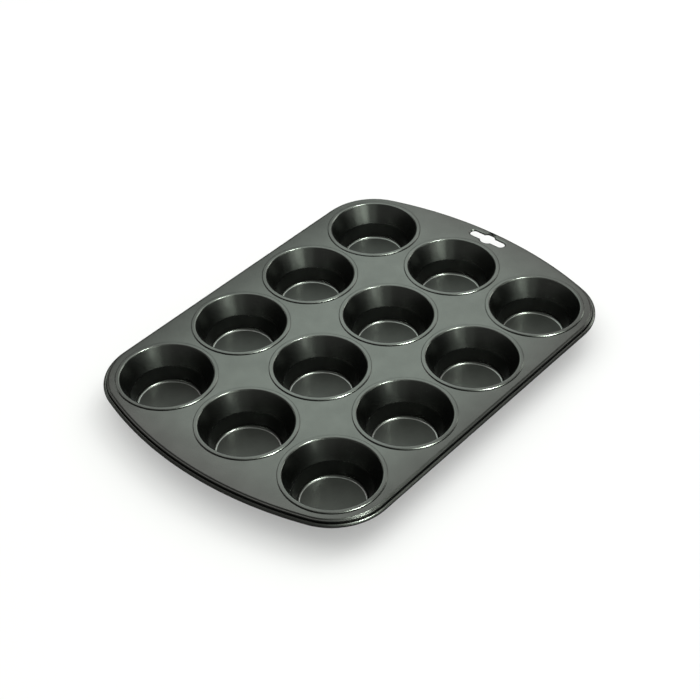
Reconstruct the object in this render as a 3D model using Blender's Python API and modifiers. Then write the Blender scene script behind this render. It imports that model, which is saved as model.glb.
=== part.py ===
"""Twelve-cup muffin tin: a pierced frame sheet with a curled, wired rim, and twelve drawn cups hung in
its holes by their rolled lips.  Metres, +Z up, +Y along the tin towards the end with the hanging slot.
The tin stands on the undersides of its cups at z = 0."""

import math

import bmesh
import bpy
from mathutils import Vector

MM = 0.001

# Plan of the tin, measured to the outside of the curled rim
HALF_WIDTH = 135.25 * MM
HALF_LENGTH = 190.0 * MM
CORNER_RADIUS = 50.0 * MM
END_RADIUS = 310.0 * MM
CORNER_STEPS = 8
END_STEPS = 6

# Cups: three columns along X, four rows along Y
COLUMNS = 3
ROWS = 4
PITCH_X = 85.2 * MM
PITCH_Y = 84.15 * MM
CUP_STEPS = 32

SHEET = 0.5 * MM
GAP = 0.3 * MM
CUP_DEPTH = 28.3 * MM
DECK_TOP = CUP_DEPTH + SHEET

# Cup section, radii from the cup's axis and heights from the top of the deck
WALL_FOOT_R = 26.1 * MM
WALL_BEND_R = 29.7 * MM
WALL_BEND_DROP = 15.5 * MM
WALL_TOP_R = 36.95 * MM
FOOT_FILLET = 1.9 * MM
LIP_RISE = 0.85 * MM
LIP_FLAT_R = 39.9 * MM
LIP_EDGE_R = 40.4 * MM
LIP_FILLET = 1.3 * MM
LIP_EDGE_FILLET = 0.7 * MM
UNDER_FOOT_RISE = 0.8 * MM
UNDER_FOOT_INSET = 0.6 * MM

# Holes in the deck, each with a short collar turned down round its edge
HOLE_R = 38.0 * MM
COLLAR_DEPTH = 1.5 * MM
SLOT_CENTRE_Y = 177.0 * MM
SLOT_HALF_LENGTH = 17.5 * MM
SLOT_HALF_HEIGHT = 3.75 * MM
SLOT_BULGE_R = 6.5 * MM
SLOT_STEPS = 5

# Rim section, insets from the outside of the rim and heights from the top of the deck
DECK_INSET = 4.4 * MM
LEDGE_INSET = 3.9 * MM
LEDGE_DROP = 0.75 * MM
WALL_INSET = 2.66 * MM
CURL_R = 1.08 * MM
CURL_INSET = CURL_R + SHEET
CURL_DROP = 4.15 * MM
CURL_STEPS = 8
CURL_TURN = math.radians(295.0)
WIRE_R = 0.8 * MM

COATING = (0.055, 0.060, 0.057, 1.0)
COATING_ROUGHNESS = 0.32
COATING_METALLIC = 0.55
WIRE_STEEL = (0.50, 0.50, 0.49, 1.0)
WIRE_ROUGHNESS = 0.40
WIRE_METALLIC = 1.0


def clear_scene():
    for obj in list(bpy.data.objects):
        bpy.data.objects.remove(obj, do_unlink=True)


def new_collection(name):
    collection = bpy.data.collections.new(name)
    bpy.context.scene.collection.children.link(collection)
    return collection


def new_material(name, colour, roughness, metallic):
    material = bpy.data.materials.new(name)
    material.use_nodes = True
    shader = material.node_tree.nodes["Principled BSDF"]
    shader.inputs["Base Color"].default_value = colour
    shader.inputs["Roughness"].default_value = roughness
    shader.inputs["Metallic"].default_value = metallic
    material.diffuse_color = colour
    return material


def new_object(name, data, collection, location=(0.0, 0.0, 0.0)):
    obj = bpy.data.objects.new(name, data)
    obj.location = location
    collection.objects.link(obj)
    return obj


def new_cutter(name, data, collection):
    cutter = new_object(name, data, collection)
    cutter.hide_render = True
    cutter.display_type = "WIRE"
    return cutter


def mesh_from(bm, name):
    mesh = bpy.data.meshes.new(name)
    bm.to_mesh(mesh)
    bm.free()
    return mesh


def arc(centre, radius, start, end, steps):
    """Points of an arc in a plane, both ends included; angles in radians."""
    points = []
    for i in range(steps + 1):
        a = start + (end - start) * i / steps
        points.append((centre[0] + radius * math.cos(a), centre[1] + radius * math.sin(a)))
    return points


def filleted(corner, before, after, radius, steps):
    """The corner of a polyline replaced by a tangent arc."""
    c = Vector(corner)
    u = (Vector(before) - c).normalized()
    v = (Vector(after) - c).normalized()
    half = u.angle(v) / 2.0
    centre = c + (u + v).normalized() * radius / math.sin(half)
    a = c + u * radius / math.tan(half) - centre
    b = c + v * radius / math.tan(half) - centre
    turn = math.atan2(a.x * b.y - a.y * b.x, a.dot(b))
    start = math.atan2(a.y, a.x)
    return arc(centre, radius, start, start + turn, steps)


def plan_outline():
    """Points of the rim's outside and their outward directions, once round the tin."""
    corner_x = HALF_WIDTH - CORNER_RADIUS
    end_y = HALF_LENGTH - END_RADIUS
    reach = END_RADIUS - CORNER_RADIUS
    corner_y = end_y + math.sqrt(reach ** 2 - corner_x ** 2)
    lean = math.asin(corner_x / reach)
    quarter = math.pi / 2.0 - lean
    outline = []
    for sx, sy, forward in ((1, 1, True), (-1, 1, False), (-1, -1, True), (1, -1, False)):
        corner = []
        for i in range(CORNER_STEPS + 1):
            a = quarter * i / CORNER_STEPS
            way = Vector((sx * math.cos(a), sy * math.sin(a)))
            corner.append((Vector((sx * corner_x, sy * corner_y)) + way * CORNER_RADIUS, way))
        outline.extend(corner if forward else reversed(corner))
        if forward:
            for i in range(1, END_STEPS):
                a = quarter + 2.0 * lean * i / END_STEPS
                way = Vector((math.cos(a), math.sin(a))) * sy
                outline.append((Vector((0.0, sy * end_y)) + way * END_RADIUS, way))
    return outline


def rim_section():
    """Inset and height of the sheet's upper skin from the edge of the deck into the curl."""
    section = [
        (LEDGE_INSET, -LEDGE_DROP),
        (WALL_INSET + 0.4 * MM, -LEDGE_DROP),
        (WALL_INSET, -LEDGE_DROP - 0.4 * MM),
    ]
    for i in range(CURL_STEPS + 1):
        a = math.pi + CURL_TURN * i / CURL_STEPS
        section.append((CURL_INSET - CURL_R * math.cos(a), -CURL_DROP + CURL_R * math.sin(a)))
    return section


def frame_skin():
    """Open upper skin of the frame sheet: the deck, then its edge drawn down and curled outward."""
    outline = plan_outline()
    bm = bmesh.new()
    ring = []
    for point, way in outline:
        spot = point - way * DECK_INSET
        ring.append(bm.verts.new((spot.x, spot.y, DECK_TOP)))
    bm.faces.new(ring)
    for inset, height in rim_section():
        edges = [bm.edges.get((ring[i - 1], ring[i])) for i in range(len(ring))]
        made = bmesh.ops.extrude_edge_only(bm, edges=edges)["geom"]
        fresh = {v for v in made if isinstance(v, bmesh.types.BMVert)}
        grown = []
        for old in ring:
            grown.append(next(e.other_vert(old) for e in old.link_edges if e.other_vert(old) in fresh))
        for vert, (point, way) in zip(grown, outline):
            spot = point - way * inset
            vert.co = (spot.x, spot.y, DECK_TOP + height)
        ring = grown
    bmesh.ops.recalc_face_normals(bm, faces=bm.faces)
    bm.faces.ensure_lookup_table()
    deck = max(bm.faces, key=lambda face: len(face.verts))
    deck.normal_update()
    if deck.normal.z < 0.0:
        bmesh.ops.reverse_faces(bm, faces=bm.faces)
    return mesh_from(bm, "frame_sheet")


def slot_outline(grow):
    """Hanging slot: a long slot with round ends and a round bulge at its middle, grown by a margin."""
    half_height = SLOT_HALF_HEIGHT + grow
    half_length = SLOT_HALF_LENGTH + grow
    bulge = SLOT_BULGE_R + grow
    meet = math.asin(half_height / bulge)
    end_x = half_length - half_height
    points = arc((end_x, 0.0), half_height, -math.pi / 2.0, math.pi / 2.0, 2 * SLOT_STEPS)
    points += arc((0.0, 0.0), bulge, meet, math.pi - meet, SLOT_STEPS)
    points += arc((-end_x, 0.0), half_height, math.pi / 2.0, 1.5 * math.pi, 2 * SLOT_STEPS)
    points += arc((0.0, 0.0), bulge, math.pi + meet, 2.0 * math.pi - meet, SLOT_STEPS)
    return points


def add_prism(bm, points, centre, low, high):
    face = bm.faces.new([bm.verts.new((centre[0] + x, centre[1] + y, low)) for x, y in points])
    made = bmesh.ops.extrude_face_region(bm, geom=[face], use_keep_orig=True)["geom"]
    tops = [v for v in made if isinstance(v, bmesh.types.BMVert)]
    bmesh.ops.translate(bm, verts=tops, vec=(0.0, 0.0, high - low))


def piercings(name, grow, low, high):
    """Prisms through every cup hole and the hanging slot, grown sideways by a margin."""
    bm = bmesh.new()
    round_hole = arc((0.0, 0.0), HOLE_R + grow, 0.0, 2.0 * math.pi, CUP_STEPS)[:-1]
    for _, _, x, y in cup_places():
        add_prism(bm, round_hole, (x, y), low, high)
    add_prism(bm, slot_outline(grow), (0.0, SLOT_CENTRE_Y), low, high)
    bmesh.ops.recalc_face_normals(bm, faces=bm.faces)
    return mesh_from(bm, name)


def cup_places():
    places = []
    for row in range(ROWS):
        for column in range(COLUMNS):
            x = (column - (COLUMNS - 1) / 2.0) * PITCH_X
            y = (row - (ROWS - 1) / 2.0) * PITCH_Y
            places.append((row + 1, column + 1, x, y))
    return places


def under(point, along):
    """A point of the inner face carried through the sheet, square to the wall's upward direction."""
    return (point.x + along.y * SHEET, point.y - along.x * SHEET)


def cup_section():
    """Closed half section of a cup, from the axis over its inner face and lip and back underneath.
    The wall is in two cones: it leans out more above its bend than below."""
    floor = -CUP_DEPTH
    foot = Vector((WALL_FOOT_R, floor))
    bend = Vector((WALL_BEND_R, -WALL_BEND_DROP))
    brow = Vector((WALL_TOP_R, LIP_RISE))
    lip = Vector((LIP_FLAT_R, LIP_RISE))
    inner = [(0.0, floor)]
    inner += filleted(foot, (0.0, floor), bend, FOOT_FILLET, 3)
    inner.append(tuple(bend))
    inner += filleted(brow, bend, lip, LIP_FILLET, 2)
    inner += filleted(lip, brow, (LIP_EDGE_R, GAP), LIP_EDGE_FILLET, 1)
    inner.append((LIP_EDGE_R, GAP))
    lower = (bend - foot).normalized()
    upper = (brow - bend).normalized()
    outer = [
        (LIP_EDGE_R - SHEET, GAP),
        (LIP_FLAT_R - LIP_FILLET, LIP_RISE - SHEET),
        under(brow - upper * LIP_FILLET, upper),
        under(bend, (lower + upper).normalized()),
        under(foot + lower * UNDER_FOOT_RISE, lower),
        (WALL_FOOT_R - UNDER_FOOT_INSET, floor - SHEET),
        (0.0, floor - SHEET),
    ]
    return inner + outer


def cup_mesh():
    mesh = bpy.data.meshes.new("cup")
    section = cup_section()
    verts = [(r, 0.0, z + DECK_TOP) for r, z in section]
    mesh.from_pydata(verts, [(i, i + 1) for i in range(len(verts) - 1)], [])
    return mesh


def add_turning(obj, steps):
    screw = obj.modifiers.new("turned", "SCREW")
    screw.axis = "Z"
    screw.angle = 2.0 * math.pi
    screw.steps = steps
    screw.render_steps = steps
    screw.use_merge_vertices = True
    screw.merge_threshold = 0.00005
    screw.use_smooth_shade = False


def add_boolean(obj, name, cutter, operation):
    cut = obj.modifiers.new(name, "BOOLEAN")
    cut.operation = operation
    cut.solver = "EXACT"
    cut.object = cutter


def wire_curve():
    """Closed round wire that lies in the middle of the curl all the way round the rim."""
    curve = bpy.data.curves.new("rim_wire", "CURVE")
    curve.dimensions = "3D"
    curve.bevel_depth = WIRE_R
    curve.bevel_resolution = 2
    outline = plan_outline()
    spline = curve.splines.new("POLY")
    spline.points.add(len(outline) - 1)
    for spot, (point, way) in zip(spline.points, outline):
        centre = point - way * CURL_INSET
        spot.co = (centre.x, centre.y, DECK_TOP - CURL_DROP, 1.0)
    spline.use_cyclic_u = True
    return curve


def build():
    clear_scene()
    tin = new_collection("muffin_tin")
    cutters = new_collection("muffin_tin_cutters")

    frame = new_object("frame_sheet", frame_skin(), tin)
    frame.data.materials.append(new_material("frame_coating", COATING, COATING_ROUGHNESS, COATING_METALLIC))
    solid = frame.modifiers.new("sheet", "SOLIDIFY")
    solid.thickness = SHEET
    solid.offset = -1.0
    solid.use_even_offset = True
    collar_low = DECK_TOP - COLLAR_DEPTH
    collars = piercings("collars", SHEET, collar_low, DECK_TOP - SHEET / 2.0)
    holes = piercings("holes", 0.0, DECK_TOP - 2.0 * COLLAR_DEPTH, DECK_TOP + COLLAR_DEPTH)
    add_boolean(frame, "collars", new_cutter("collars", collars, cutters), "UNION")
    add_boolean(frame, "holes", new_cutter("holes", holes, cutters), "DIFFERENCE")

    wire = new_object("rim_wire", wire_curve(), tin)
    wire.data.materials.append(new_material("wire_steel", WIRE_STEEL, WIRE_ROUGHNESS, WIRE_METALLIC))

    for row, column, x, y in cup_places():
        name = f"cup_row{row}_col{column}"
        cup = new_object(name, cup_mesh(), tin, (x, y, 0.0))
        add_turning(cup, CUP_STEPS)
        cup.data.materials.append(new_material(name + "_coating", COATING, COATING_ROUGHNESS, COATING_METALLIC))


build()
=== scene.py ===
"""Looks of the coated steel muffin tin: smooth sheet-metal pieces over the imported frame, on a pale floor.
Metres, +Z up, +Y along the tin towards the end with the hanging slot."""

import math

import bmesh
import bpy
from mathutils import Matrix, Vector
from mathutils.kdtree import KDTree

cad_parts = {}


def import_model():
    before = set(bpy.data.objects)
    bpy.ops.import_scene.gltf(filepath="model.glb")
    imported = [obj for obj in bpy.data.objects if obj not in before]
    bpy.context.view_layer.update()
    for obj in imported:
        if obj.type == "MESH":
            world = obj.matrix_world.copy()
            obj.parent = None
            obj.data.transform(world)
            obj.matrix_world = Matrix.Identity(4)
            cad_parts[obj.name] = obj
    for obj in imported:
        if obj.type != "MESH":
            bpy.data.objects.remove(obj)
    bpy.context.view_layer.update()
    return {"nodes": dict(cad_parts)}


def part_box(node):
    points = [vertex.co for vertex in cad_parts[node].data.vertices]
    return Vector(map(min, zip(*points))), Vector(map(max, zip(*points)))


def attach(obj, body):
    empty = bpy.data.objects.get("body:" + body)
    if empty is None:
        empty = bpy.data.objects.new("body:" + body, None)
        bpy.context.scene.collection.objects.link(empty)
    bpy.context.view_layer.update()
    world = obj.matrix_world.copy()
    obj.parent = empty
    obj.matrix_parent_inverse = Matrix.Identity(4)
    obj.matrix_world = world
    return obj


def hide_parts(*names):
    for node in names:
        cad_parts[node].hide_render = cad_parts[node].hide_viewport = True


MM = 0.001

# Tin, measured to the outside of the curled rim
HALF_WIDTH = 135.25 * MM
HALF_LENGTH = 190.0 * MM
CORNER_RADIUS = 50.0 * MM
END_RADIUS = 310.0 * MM
CORNER_STEPS = 28
END_STEPS = 48

CUP_STEPS = 144
SHEET = 0.5 * MM
GAP = 0.06 * MM
CUP_DEPTH = 28.3 * MM
DECK_TOP = CUP_DEPTH + SHEET

# Cup section, radii from the cup's axis and heights from the top of the deck
FLOOR_R = 24.6 * MM
WALL_FOOT_R = 26.1 * MM
WALL_BEND_R = 29.7 * MM
WALL_BEND_DROP = 15.5 * MM
WALL_BEND_FILLET = 4.0 * MM
WALL_TOP_R = 36.95 * MM
FOOT_FILLET = 1.9 * MM
LIP_RISE = 0.85 * MM
LIP_FLAT_R = 39.9 * MM
LIP_EDGE_R = 40.4 * MM
LIP_FILLET = 1.3 * MM
LIP_EDGE_FILLET = 0.7 * MM

# Holes and slot: radius or outline of the opening, and how far out the deck round it is still flat
HOLE_R = 38.0 * MM
HOLE_MARGIN = 1.0 * MM
COLLAR_DEPTH = 1.5 * MM
SLOT_CENTRE_Y = 177.0 * MM
SLOT_HALF_LENGTH = 17.5 * MM
SLOT_HALF_HEIGHT = 3.75 * MM
SLOT_BULGE_R = 6.5 * MM
SLOT_MARGIN = 1.9 * MM
SLOT_STEPS = 14

# Rim section, insets from the outside of the rim and heights from the top of the deck
FLAT_INSET = 5.6 * MM
DECK_INSET = 4.4 * MM
LEDGE_INSET = 3.9 * MM
LEDGE_DROP = 0.75 * MM
LEDGE_FALL = 0.03 * MM
WALL_INSET = 2.66 * MM
CURL_R = 1.08 * MM
CURL_INSET = CURL_R + SHEET
CURL_DROP = 4.15 * MM
CURL_STEPS = 28
CURL_TURN = math.radians(295.0)
WIRE_R = 0.8 * MM


def arc(centre, radius, start, end, steps):
    points = []
    for i in range(steps + 1):
        a = start + (end - start) * i / steps
        points.append((centre[0] + radius * math.cos(a), centre[1] + radius * math.sin(a)))
    return points


def filleted(corner, before, after, radius, steps):
    """The corner of a polyline replaced by a tangent arc."""
    c = Vector(corner)
    u = (Vector(before) - c).normalized()
    v = (Vector(after) - c).normalized()
    half = u.angle(v) / 2.0
    centre = c + (u + v).normalized() * radius / math.sin(half)
    a = c + u * radius / math.tan(half) - centre
    b = c + v * radius / math.tan(half) - centre
    turn = math.atan2(a.x * b.y - a.y * b.x, a.dot(b))
    start = math.atan2(a.y, a.x)
    return arc(centre, radius, start, start + turn, steps)


def rounded_line(corners, steps=6):
    """A polyline whose corners, given as (x, y, radius), are rounded."""
    flat = [(c[0], c[1]) for c in corners]
    line = [flat[0]]
    for i in range(1, len(corners) - 1):
        radius = corners[i][2]
        line += filleted(flat[i], flat[i - 1], flat[i + 1], radius, steps) if radius else [flat[i]]
    line.append(flat[-1])
    return line


def held(line, margin=0.25 * MM, long_run=1.2 * MM):
    """Extra points near the ends of long straight runs, which keep smooth shading off them."""
    out = [line[0]]
    for a, b in zip(line, line[1:]):
        run = Vector(b) - Vector(a)
        if run.length > long_run:
            step = run.normalized() * margin
            out.append(tuple(Vector(a) + step))
            out.append(tuple(Vector(b) - step))
        out.append(b)
    return out


def plan_outline():
    """Points of the rim's outside and their outward directions, once round the tin."""
    corner_x = HALF_WIDTH - CORNER_RADIUS
    end_y = HALF_LENGTH - END_RADIUS
    reach = END_RADIUS - CORNER_RADIUS
    corner_y = end_y + math.sqrt(reach ** 2 - corner_x ** 2)
    lean = math.asin(corner_x / reach)
    quarter = math.pi / 2.0 - lean
    outline = []
    for sx, sy, forward in ((1, 1, True), (-1, 1, False), (-1, -1, True), (1, -1, False)):
        corner = []
        for i in range(CORNER_STEPS + 1):
            a = quarter * i / CORNER_STEPS
            way = Vector((sx * math.cos(a), sy * math.sin(a)))
            corner.append((Vector((sx * corner_x, sy * corner_y)) + way * CORNER_RADIUS, way))
        outline.extend(corner if forward else reversed(corner))
        if forward:
            for i in range(1, END_STEPS):
                a = quarter + 2.0 * lean * i / END_STEPS
                way = Vector((math.cos(a), math.sin(a))) * sy
                outline.append((Vector((0.0, sy * end_y)) + way * END_RADIUS, way))
    return outline


def rim_ring(inset):
    return [tuple(point - way * inset) for point, way in plan_outline()]


def hole_ring(x, y, radius):
    return [(x + px, y + py) for px, py in arc((0.0, 0.0), radius, 0.0, 2.0 * math.pi, CUP_STEPS)[:-1]]


def slot_ring(grow):
    half_height = SLOT_HALF_HEIGHT + grow
    half_length = SLOT_HALF_LENGTH + grow
    bulge = SLOT_BULGE_R + grow
    meet = math.asin(half_height / bulge)
    end_x = half_length - half_height
    points = arc((end_x, 0.0), half_height, -math.pi / 2.0, math.pi / 2.0, 2 * SLOT_STEPS)
    points += arc((0.0, 0.0), bulge, meet, math.pi - meet, SLOT_STEPS)
    points += arc((-end_x, 0.0), half_height, math.pi / 2.0, 1.5 * math.pi, 2 * SLOT_STEPS)
    points += arc((0.0, 0.0), bulge, math.pi + meet, 2.0 * math.pi - meet, SLOT_STEPS)
    return [(x, y + SLOT_CENTRE_Y) for x, y in points]


def evaluated_mesh(obj, name):
    bpy.context.view_layer.update()
    graph = bpy.context.evaluated_depsgraph_get()
    mesh = bpy.data.meshes.new_from_object(obj.evaluated_get(graph), depsgraph=graph)
    mesh.name = name
    bpy.data.objects.remove(obj, do_unlink=True)
    return mesh


def linked(name, data, location=(0.0, 0.0, 0.0)):
    obj = bpy.data.objects.new(name, data)
    obj.location = location
    bpy.context.scene.collection.objects.link(obj)
    return obj


def smooth(mesh, degrees=38.0):
    mesh.shade_smooth()
    mesh.set_sharp_from_angle(angle=math.radians(degrees))


def deck_fill(rings):
    """Flat face bounded by the first ring and pierced by the others."""
    curve = bpy.data.curves.new("deck", "CURVE")
    curve.dimensions = "2D"
    curve.fill_mode = "FRONT"
    for ring in rings:
        spline = curve.splines.new("POLY")
        spline.points.add(len(ring) - 1)
        for spot, (x, y) in zip(spline.points, ring):
            spot.co = (x, y, 0.0, 1.0)
        spline.use_cyclic_u = True
    return evaluated_mesh(linked("deck", curve), "deck")


def skirt(bm, ring, profile, ring_at):
    """Walks an edge loop of the deck through (offset, height) steps, leaving faces behind it."""
    bm.verts.ensure_lookup_table()
    tree = KDTree(len(bm.verts))
    for i, vert in enumerate(bm.verts):
        tree.insert(vert.co, i)
    tree.balance()
    loop = [bm.verts[tree.find((x, y, DECK_TOP))[1]] for x, y in ring]
    for offset, height in profile:
        edges = [bm.edges.get((loop[i - 1], loop[i])) for i in range(len(loop))]
        made = bmesh.ops.extrude_edge_only(bm, edges=edges)["geom"]
        fresh = {v for v in made if isinstance(v, bmesh.types.BMVert)}
        grown = []
        for old in loop:
            grown.append(next(e.other_vert(old) for e in old.link_edges if e.other_vert(old) in fresh))
        for vert, (x, y) in zip(grown, ring_at(offset)):
            vert.co = (x, y, DECK_TOP + height)
        loop = grown


def rim_profile():
    """Inset and height from the flat of the deck over the step, down the wall and round the curl."""
    line = rounded_line([
        (FLAT_INSET, 0.0, 0.0),
        (DECK_INSET, 0.0, 0.5 * MM),
        (LEDGE_INSET, -LEDGE_DROP, 0.4 * MM),
        (WALL_INSET, -LEDGE_DROP - LEDGE_FALL, 0.45 * MM),
        (WALL_INSET, -CURL_DROP, 0.0),
    ], 5)
    line = held(line, 0.2 * MM, 0.5 * MM)
    for i in range(1, CURL_STEPS + 1):
        a = math.pi + CURL_TURN * i / CURL_STEPS
        line.append((CURL_INSET - CURL_R * math.cos(a), -CURL_DROP + CURL_R * math.sin(a)))
    return line[1:]


def frame_mesh(cups):
    outer = rim_ring(FLAT_INSET)
    holes = [hole_ring(x, y, HOLE_R + HOLE_MARGIN) for _, _, x, y in cups]
    slot = slot_ring(SLOT_MARGIN)
    deck = deck_fill([outer] + holes + [slot])
    bm = bmesh.new()
    bm.from_mesh(deck)
    bmesh.ops.remove_doubles(bm, verts=bm.verts, dist=1e-6)
    for vert in bm.verts:
        vert.co.z = DECK_TOP
    skirt(bm, outer, rim_profile(), rim_ring)
    collar = [(0.75 * MM, 0.0), (0.45 * MM, 0.0), (0.2 * MM, -0.1 * MM), (0.05 * MM, -0.3 * MM),
              (0.0, -0.6 * MM), (0.0, -COLLAR_DEPTH)]
    for (_, _, x, y), ring in zip(cups, holes):
        skirt(bm, ring, collar, lambda grow, x=x, y=y: hole_ring(x, y, HOLE_R + grow))
    lip = [(1.6 * MM, 0.0), (1.35 * MM, -0.02 * MM), (1.0 * MM, -0.1 * MM), (0.62 * MM, -0.28 * MM),
           (0.3 * MM, -0.56 * MM), (0.08 * MM, -0.9 * MM), (0.0, -1.25 * MM), (0.0, -1.5 * MM)]
    skirt(bm, slot, lip, slot_ring)
    bmesh.ops.recalc_face_normals(bm, faces=bm.faces)
    bm.faces.ensure_lookup_table()
    flat = max(bm.faces, key=lambda face: face.calc_area())
    if flat.normal.z < 0.0:
        bmesh.ops.reverse_faces(bm, faces=bm.faces)
    skin = bpy.data.meshes.new("frame_skin")
    bm.to_mesh(skin)
    bm.free()
    shell = linked("frame_skin", skin)
    solid = shell.modifiers.new("sheet", "SOLIDIFY")
    solid.thickness = SHEET
    solid.offset = -1.0
    solid.use_even_offset = True
    mesh = evaluated_mesh(shell, "frame_sheet_steel")
    smooth(mesh)
    return mesh


def cup_skin_line():
    """Upper skin of a cup, from its axis across the floor and up to the edge of the rolled lip."""
    floor = -CUP_DEPTH
    line = rounded_line([
        (0.0, floor, 0.0),
        (WALL_FOOT_R, floor, FOOT_FILLET),
        (WALL_BEND_R, -WALL_BEND_DROP, WALL_BEND_FILLET),
        (WALL_TOP_R, LIP_RISE, LIP_FILLET),
        (LIP_FLAT_R, LIP_RISE, LIP_EDGE_FILLET),
        (LIP_EDGE_R, SHEET + GAP, 0.0),
    ], 8)
    return held(line)


def cup_mesh():
    line = cup_skin_line()
    points = [(r, 0.0, z + DECK_TOP) for r, z in line]
    wire = bpy.data.meshes.new("cup_line")
    wire.from_pydata(points, [(i, i + 1) for i in range(len(points) - 1)], [])
    obj = linked("cup_line", wire)
    screw = obj.modifiers.new("turned", "SCREW")
    screw.axis = "Z"
    screw.steps = CUP_STEPS
    screw.render_steps = CUP_STEPS
    screw.use_merge_vertices = True
    screw.merge_threshold = 0.00001
    solid = obj.modifiers.new("sheet", "SOLIDIFY")
    solid.thickness = SHEET
    solid.offset = -1.0
    solid.use_even_offset = True
    mesh = evaluated_mesh(obj, "cup_steel")
    smooth(mesh)
    return mesh


def wire_mesh():
    curve = bpy.data.curves.new("rim_wire_line", "CURVE")
    curve.dimensions = "3D"
    curve.bevel_depth = WIRE_R
    curve.bevel_resolution = 4
    ring = rim_ring(CURL_INSET)
    spline = curve.splines.new("POLY")
    spline.points.add(len(ring) - 1)
    for spot, (x, y) in zip(spline.points, ring):
        spot.co = (x, y, DECK_TOP - CURL_DROP, 1.0)
    spline.use_cyclic_u = True
    mesh = evaluated_mesh(linked("rim_wire_line", curve), "rim_wire_steel")
    smooth(mesh, 60.0)
    return mesh


# Materials


class Nodes:
    """Small helper that wires up one material's nodes."""

    def __init__(self, name):
        self.material = bpy.data.materials.new(name)
        self.material.use_nodes = True
        self.tree = self.material.node_tree
        self.shader = self.tree.nodes["Principled BSDF"]

    def node(self, kind, **settings):
        made = self.tree.nodes.new(kind)
        for key, value in settings.items():
            setattr(made, key, value)
        return made

    def link(self, source, target):
        self.tree.links.new(source, target)

    def math(self, operation, a, b=None):
        made = self.node("ShaderNodeMath", operation=operation)
        for socket, value in zip(made.inputs, (a, b)):
            if value is None:
                continue
            if isinstance(value, (int, float)):
                socket.default_value = value
            else:
                self.link(value, socket)
        return made.outputs[0]

    def noise(self, vector, scale, detail=2.0, roughness=0.5):
        made = self.node("ShaderNodeTexNoise")
        made.inputs["Scale"].default_value = scale
        made.inputs["Detail"].default_value = detail
        made.inputs["Roughness"].default_value = roughness
        self.link(vector, made.inputs["Vector"])
        return made.outputs["Fac"]

    def ramp(self, source, stops):
        made = self.node("ShaderNodeValToRGB")
        elements = made.color_ramp.elements
        while len(elements) > 1:
            elements.remove(elements[-1])
        elements[0].position = stops[0][0]
        elements[0].color = stops[0][1]
        for position, colour in stops[1:]:
            elements.new(position).color = colour
        self.link(source, made.inputs["Fac"])
        return made.outputs["Color"]

    def spread(self, source, low, high, first, last):
        """Maps a value from one range to another, clamped."""
        made = self.node("ShaderNodeMapRange")
        for key, value in zip(("From Min", "From Max", "To Min", "To Max"), (low, high, first, last)):
            made.inputs[key].default_value = value
        self.link(source, made.inputs["Value"])
        return made.outputs["Result"]

    def mix(self, factor, a, b):
        made = self.node("ShaderNodeMix", data_type="FLOAT")
        for socket, source in zip((made.inputs[0], made.inputs[2], made.inputs[3]), (factor, a, b)):
            self.link(source, socket)
        return made.outputs[0]

    def mix_colour(self, factor, source, colour):
        made = self.node("ShaderNodeMix", data_type="RGBA")
        self.link(factor, made.inputs[0])
        self.link(source, made.inputs[6])
        made.inputs[7].default_value = colour
        return made.outputs[2]

    def bump(self, height, strength, distance, normal=None):
        made = self.node("ShaderNodeBump")
        made.inputs["Strength"].default_value = strength
        made.inputs["Distance"].default_value = distance
        self.link(height, made.inputs["Height"])
        if normal is not None:
            self.link(normal, made.inputs["Normal"])
        return made.outputs["Normal"]


def grey(value, tint=(1.0, 1.0, 1.0)):
    return (value * tint[0], value * tint[1], value * tint[2], 1.0)


# Coat, painted reflection ring and painted floor shade: base colours, lowest and highest roughness. Noise
# scales below are per metre.
COAT_TINT = (1.0, 1.01, 0.97)
COAT_DARK = 0.046
COAT_LIGHT = 0.056
COAT_GLOSS = (0.22, 0.27)
FLOOR_GLOSS = (0.46, 0.52)
# Painted reflection: base colour and width of a lighter ring at the cup floor's edge, which stands in for
# the light line that the foot reflects
PAINTED_RING_HIGHLIGHT = 0.20
HIGHLIGHT_RING_WIDTH = 0.5 * MM
# Painted shade: share of the coat's colour left on the cup floor, darkening the bottom of the cup
PAINTED_FLOOR_SHADE = 0.6
LOWER_WALL_DULLNESS = 0.3


def coating(name):
    """Baked-on dark non-stick coat over steel: flaked, slightly hazy, with a fine orange peel."""
    n = Nodes(name)
    place = n.node("ShaderNodeTexCoord").outputs["Object"]
    mottle = n.noise(place, 55.0, 4.0, 0.6)
    flakes = n.noise(place, 2600.0, 1.0)
    tone = n.math("ADD", n.math("MULTIPLY", mottle, 0.6), n.math("MULTIPLY", flakes, 0.4))
    colour = n.ramp(tone, [(0.36, grey(COAT_DARK, COAT_TINT)), (0.64, grey(COAT_LIGHT, COAT_TINT))])
    rough = n.spread(n.noise(place, 21.0, 5.0, 0.65), 0.3, 0.7, *COAT_GLOSS)
    normal = n.bump(n.noise(place, 700.0, 2.0, 0.55), 0.02, 0.0002)
    n.link(colour, n.shader.inputs["Base Color"])
    n.link(rough, n.shader.inputs["Roughness"])
    n.link(normal, n.shader.inputs["Normal"])
    n.shader.inputs["Metallic"].default_value = 1.0
    return n, place, colour, rough, normal


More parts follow.
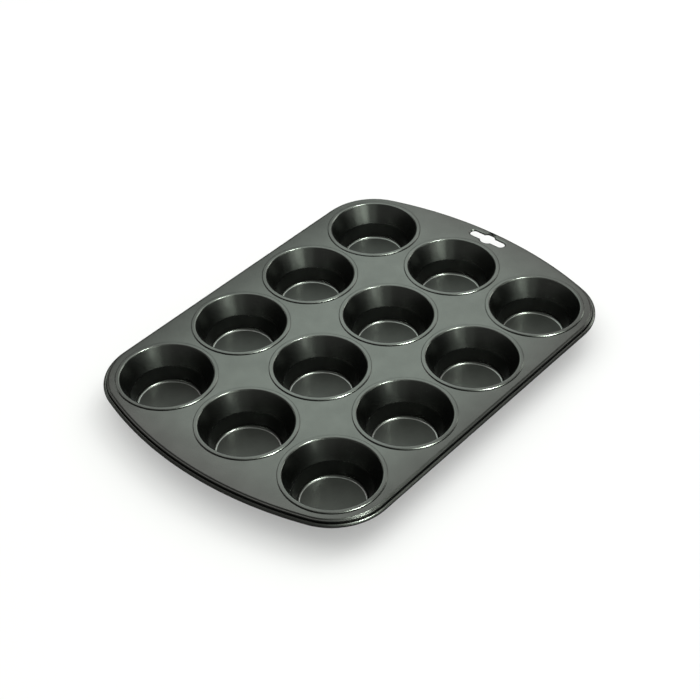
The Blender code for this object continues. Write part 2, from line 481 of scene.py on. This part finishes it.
def cup_coating():
    """The same coat on a drawn cup: drawing lines up its wall, which is a little duller below the bend,
    and a dull floor darkened by painted shade, with a lighter ring at its edge that is a painted reflection
    of the light line along the foot."""
    n, place, colour, rough, normal = coating("cup_coating")
    split = n.node("ShaderNodeSeparateXYZ")
    n.link(place, split.inputs[0])
    radius = n.math("SQRT", n.math("ADD", n.math("POWER", split.outputs["X"], 2.0),
                                   n.math("POWER", split.outputs["Y"], 2.0)))
    turn = n.node("ShaderNodeTexGradient", gradient_type="RADIAL")
    n.link(place, turn.inputs["Vector"])
    lines = n.node("ShaderNodeCombineXYZ")
    n.link(n.math("MULTIPLY", turn.outputs["Fac"], 1.6), lines.inputs["X"])
    n.link(n.math("MULTIPLY", split.outputs["Z"], 3.0), lines.inputs["Y"])
    drawn = n.bump(n.noise(lines.outputs[0], 60.0, 3.0, 0.6), 0.03, 0.0006, normal)
    n.link(drawn, n.shader.inputs["Normal"])

    dull = n.spread(n.noise(place, 90.0, 3.0, 0.6), 0.3, 0.7, *FLOOR_GLOSS)
    floor = n.spread(radius, FLOOR_R, FLOOR_R + HIGHLIGHT_RING_WIDTH, 1.0, 0.0)
    foot = n.spread(radius, WALL_FOOT_R, WALL_FOOT_R + 1.6 * MM, 0.0, LOWER_WALL_DULLNESS)
    bend = n.spread(radius, WALL_BEND_R - 2.0 * MM, WALL_BEND_R + 1.5 * MM, 1.0, 0.0)
    duller = n.math("MAXIMUM", floor, n.math("MULTIPLY", foot, bend))
    n.link(n.mix(duller, rough, dull), n.shader.inputs["Roughness"])

    inside = n.spread(radius, FLOOR_R - 0.25 * MM, FLOOR_R, 0.0, 1.0)
    outside = n.spread(radius, FLOOR_R + HIGHLIGHT_RING_WIDTH, FLOOR_R + HIGHLIGHT_RING_WIDTH + 0.2 * MM, 1.0, 0.0)
    # Painted shade: the coat's colour is scaled down on the floor inside the ring
    shade = n.spread(radius, FLOOR_R - 0.25 * MM, FLOOR_R, PAINTED_FLOOR_SHADE, 1.0)
    shaded = n.node("ShaderNodeVectorMath", operation="SCALE")
    n.link(colour, shaded.inputs[0])
    n.link(shade, shaded.inputs["Scale"])
    patchy = n.spread(n.noise(place, 260.0, 3.0, 0.6), 0.3, 0.6, 0.55, 1.0)
    # Painted reflection: a lighter, patchy ring at the floor's edge, mixed over the coat's colour
    painted_ring_highlight = n.math("MULTIPLY", n.math("MULTIPLY", inside, outside), patchy)
    n.link(n.mix_colour(painted_ring_highlight, shaded.outputs[0], grey(PAINTED_RING_HIGHLIGHT)), n.shader.inputs["Base Color"])
    return n.material


def wire_steel():
    n = Nodes("wire_steel")
    place = n.node("ShaderNodeTexCoord").outputs["Object"]
    tone = n.noise(place, 300.0, 3.0)
    n.link(n.ramp(tone, [(0.3, grey(0.38)), (0.7, grey(0.52))]), n.shader.inputs["Base Color"])
    n.link(n.bump(n.noise(place, 900.0), 0.1, 0.0002), n.shader.inputs["Normal"])
    n.shader.inputs["Metallic"].default_value = 1.0
    n.shader.inputs["Roughness"].default_value = 0.4
    return n.material


def floor_material():
    n = Nodes("floor_white")
    place = n.node("ShaderNodeTexCoord").outputs["Object"]
    tone = n.noise(place, 3.0, 2.0)
    n.link(n.ramp(tone, [(0.3, grey(0.86)), (0.7, grey(0.87))]), n.shader.inputs["Base Color"])
    n.shader.inputs["Roughness"].default_value = 0.9
    n.shader.inputs["Specular IOR Level"].default_value = 0.1
    return n.material


# Camera and light

CAMERA_AIM = Vector((5.15 * MM, -12.25 * MM, DECK_TOP))
CAMERA_DISTANCE = 1.2344
CAMERA_AZIMUTH = math.radians(41.19)
CAMERA_ELEVATION = math.radians(40.08)
CAMERA_ROLL = math.radians(-1.23)
CAMERA_LENS = 80.18


def axes_towards(azimuth, elevation, roll=0.0):
    """Rotation whose +Z points back from the aim at an azimuth (0 looks along +Y) and elevation."""
    back = Vector((
        math.sin(azimuth) * math.cos(elevation),
        -math.cos(azimuth) * math.cos(elevation),
        math.sin(elevation),
    ))
    right = Vector((math.cos(azimuth), math.sin(azimuth), 0.0))
    up = back.cross(right)
    turned_right = right * math.cos(roll) + up * math.sin(roll)
    turned_up = up * math.cos(roll) - right * math.sin(roll)
    return Matrix((turned_right, turned_up, back)).transposed()


def add_camera():
    data = bpy.data.cameras.new("camera")
    data.sensor_width = 36.0
    data.lens = CAMERA_LENS
    data.clip_start = 0.05
    data.clip_end = 50.0
    camera = linked("camera", data)
    turn = axes_towards(CAMERA_AZIMUTH, CAMERA_ELEVATION, CAMERA_ROLL)
    spot = CAMERA_AIM + turn.col[2] * CAMERA_DISTANCE
    camera.matrix_world = Matrix.Translation(spot) @ turn.to_4x4()
    bpy.context.scene.camera = camera


def compass(direction_degrees, elevation_degrees, distance):
    """A spot in a direction counted anticlockwise from +X, and the rotation that faces the tin."""
    azimuth = math.radians(direction_degrees + 90.0)
    turn = axes_towards(azimuth, math.radians(elevation_degrees))
    return CAMERA_AIM + turn.col[2] * distance, turn


# Two overhead panels, each given by its height over the deck, the corners in mm of the deck rectangle
# that its mirror image fills, and its radiance
PANEL = (0.28, (-114.0, -172.0), (122.0, 170.0), 2.5)
FILL = (0.31, (-122.0, -235.0), (150.0, 225.0), 1.4)
PANEL_TINT = (0.74, 1.0, 0.86)
FILL_TINT = (1.0, 0.86, 0.89)

# Lamps: direction and elevation in degrees, width and height in degrees, distance in metres, radiance
KEY = (25.0, 67.0, 7.0, 7.0, 2.2, 500.0)
STRIP = (346.0, 12.0, 9.0, 36.0, 2.5, 3.0)

# Softboxes of one size and distance round the tin: direction and elevation in degrees, radiance
BOX_ANGLE = 16.0
BOX_DISTANCE = 3.0
SIDE_BOXES = {
    "right_near": (336.0, 20.0, 7.0),
    "right": (0.0, 20.0, 7.5),
    "right_far": (24.0, 20.0, 4.5),
    "right_high": (0.0, 53.0, 2.0),
    "behind": (72.0, 20.0, 11.5),
    "left": (192.0, 20.0, 3.0),
    "front": (312.0, 20.0, 1.0),
    "front_high": (311.0, 70.0, 1.0),
}
BACK_BOXES = {
    "behind_high": (90.0, 36.0, 5.0),
    "top": (72.0, 71.0, 5.5),
}
SIDE_TINT = (0.88, 1.0, 0.88)
BACK_TINT = (1.0, 0.97, 0.92)

# Light on the floor alone: a wide wash that the tin doesn't shade, and a smaller lamp that it does
WASH_HEIGHT = 3.0
WASH_SIZE = (6.0, 6.0)
WASH_RADIANCE = 1.25
SHADE_PLACE = (85.0, 50.0, 3.0)
SHADE_SIZE = (2.0, 2.0)
SHADE_RADIANCE = 1.4
WHITE = (1.0, 1.0, 1.0)

LEVEL = Matrix.Identity(3)


def add_area(name, spot, turn, size, radiance, colour, lit):
    """Area light of a given radiance that lights only the objects of one collection."""
    data = bpy.data.lights.new(name, "AREA")
    data.shape = "RECTANGLE"
    data.size, data.size_y = size
    data.energy = math.pi * size[0] * size[1] * radiance
    data.color = colour
    light = linked(name, data)
    light.matrix_world = Matrix.Translation(spot) @ turn.to_4x4()
    light.visible_camera = False
    light.light_linking.receiver_collection = lit
    return light


def add_panel(name, height, low, high, radiance, colour, lit):
    """Overhead panel whose mirror image, seen from the camera, fills a rectangle of the deck."""
    eye = bpy.context.scene.camera.matrix_world.translation
    grow = 1.0 + height / (eye.z - DECK_TOP)
    a = eye.xy + (Vector(low) * MM - eye.xy) * grow
    b = eye.xy + (Vector(high) * MM - eye.xy) * grow
    spot = Vector(((a.x + b.x) / 2.0, (a.y + b.y) / 2.0, DECK_TOP + height))
    add_area(name, spot, LEVEL, (b.x - a.x, b.y - a.y), radiance, colour, lit)


def add_lamp(name, direction, elevation, width, height, distance, radiance, colour, lit):
    """Rectangular lamp facing the tin, its size given by the angles that it fills."""
    spot, turn = compass(direction, elevation, distance)
    size = [2.0 * distance * math.tan(math.radians(angle / 2.0)) for angle in (width, height)]
    add_area(name, spot, turn, size, radiance, colour, lit)


def gathered(name, objects):
    collection = bpy.data.collections.new(name)
    for obj in objects:
        collection.objects.link(obj)
    return collection


def add_tin_lights(tin):
    add_panel("panel", *PANEL, PANEL_TINT, tin)
    add_panel("fill", *FILL, FILL_TINT, tin)
    add_lamp("key", *KEY, SIDE_TINT, tin)
    add_lamp("right_strip", *STRIP, SIDE_TINT, tin)
    for boxes, tint in ((SIDE_BOXES, SIDE_TINT), (BACK_BOXES, BACK_TINT)):
        for name, (direction, elevation, radiance) in boxes.items():
            add_lamp(name, direction, elevation, BOX_ANGLE, BOX_ANGLE, BOX_DISTANCE, radiance, tint, tin)


def add_floor_lights(floor):
    above = Vector((0.0, 0.0, WASH_HEIGHT))
    wash = add_area("floor_wash", above, LEVEL, WASH_SIZE, WASH_RADIANCE, WHITE, floor)
    wash.light_linking.blocker_collection = floor
    spot, turn = compass(*SHADE_PLACE)
    add_area("floor_shade", spot, turn, SHADE_SIZE, SHADE_RADIANCE, WHITE, floor)


WORLD_ABOVE = (0.37, 0.385, 0.36, 1.0)
WORLD_BELOW = (0.25, 0.25, 0.24, 1.0)


def add_world():
    """Dim room, dimmer below the horizon, and plain white where the camera looks past the floor."""
    world = bpy.data.worlds.new("studio")
    world.use_nodes = True
    tree = world.node_tree
    background = tree.nodes["Background"]
    way = tree.nodes.new("ShaderNodeTexCoord")
    split = tree.nodes.new("ShaderNodeSeparateXYZ")
    upward = tree.nodes.new("ShaderNodeMath")
    upward.operation = "GREATER_THAN"
    upward.inputs[1].default_value = 0.0
    halves = tree.nodes.new("ShaderNodeMix")
    halves.data_type = "RGBA"
    halves.inputs[6].default_value = WORLD_BELOW
    halves.inputs[7].default_value = WORLD_ABOVE
    seen = tree.nodes.new("ShaderNodeLightPath")
    final = tree.nodes.new("ShaderNodeMix")
    final.data_type = "RGBA"
    final.inputs[7].default_value = (*WHITE, 1.0)
    tree.links.new(way.outputs["Generated"], split.inputs[0])
    tree.links.new(split.outputs["Z"], upward.inputs[0])
    tree.links.new(upward.outputs[0], halves.inputs[0])
    tree.links.new(halves.outputs[2], final.inputs[6])
    tree.links.new(seen.outputs["Is Camera Ray"], final.inputs[0])
    tree.links.new(final.outputs[2], background.inputs["Color"])
    bpy.context.scene.world = world


def add_floor():
    mesh = bpy.data.meshes.new("floor")
    bm = bmesh.new()
    bmesh.ops.create_grid(bm, x_segments=2, y_segments=2, size=6.0)
    bm.to_mesh(mesh)
    bm.free()
    floor = linked("floor", mesh)
    floor.data.materials.append(floor_material())
    floor.visible_glossy = False
    return floor


def cup_places(frame):
    places = []
    for node in sorted(frame["nodes"]):
        if node.startswith("cup_"):
            low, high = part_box(node)
            middle = (low + high) / 2.0
            places.append((node, node + "_steel", middle.x, middle.y))
    return places


def build():
    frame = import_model()
    bpy.context.scene.view_settings.view_transform = "Standard"
    cups = cup_places(frame)

    cup_coat = cup_coating()
    shape = cup_mesh()
    shape.materials.append(cup_coat)
    cup_pieces = []
    for node, name, x, y in cups:
        cup = linked(name, shape, (x, y, 0.0))
        cup_pieces.append(cup)
        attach(cup, "root")
        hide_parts(node)

    sheet = linked("frame_sheet_steel", frame_mesh(cups))
    sheet.data.materials.append(coating("frame_coating")[0].material)
    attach(sheet, "root")
    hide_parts("frame_sheet")

    wire = linked("rim_wire_steel", wire_mesh())
    wire.data.materials.append(wire_steel())
    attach(wire, "root")
    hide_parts("rim_wire")

    floor = add_floor()
    add_camera()
    add_tin_lights(gathered("lit_tin", cup_pieces + [sheet, wire]))
    add_floor_lights(gathered("lit_floor", [floor]))
    add_world()


build()
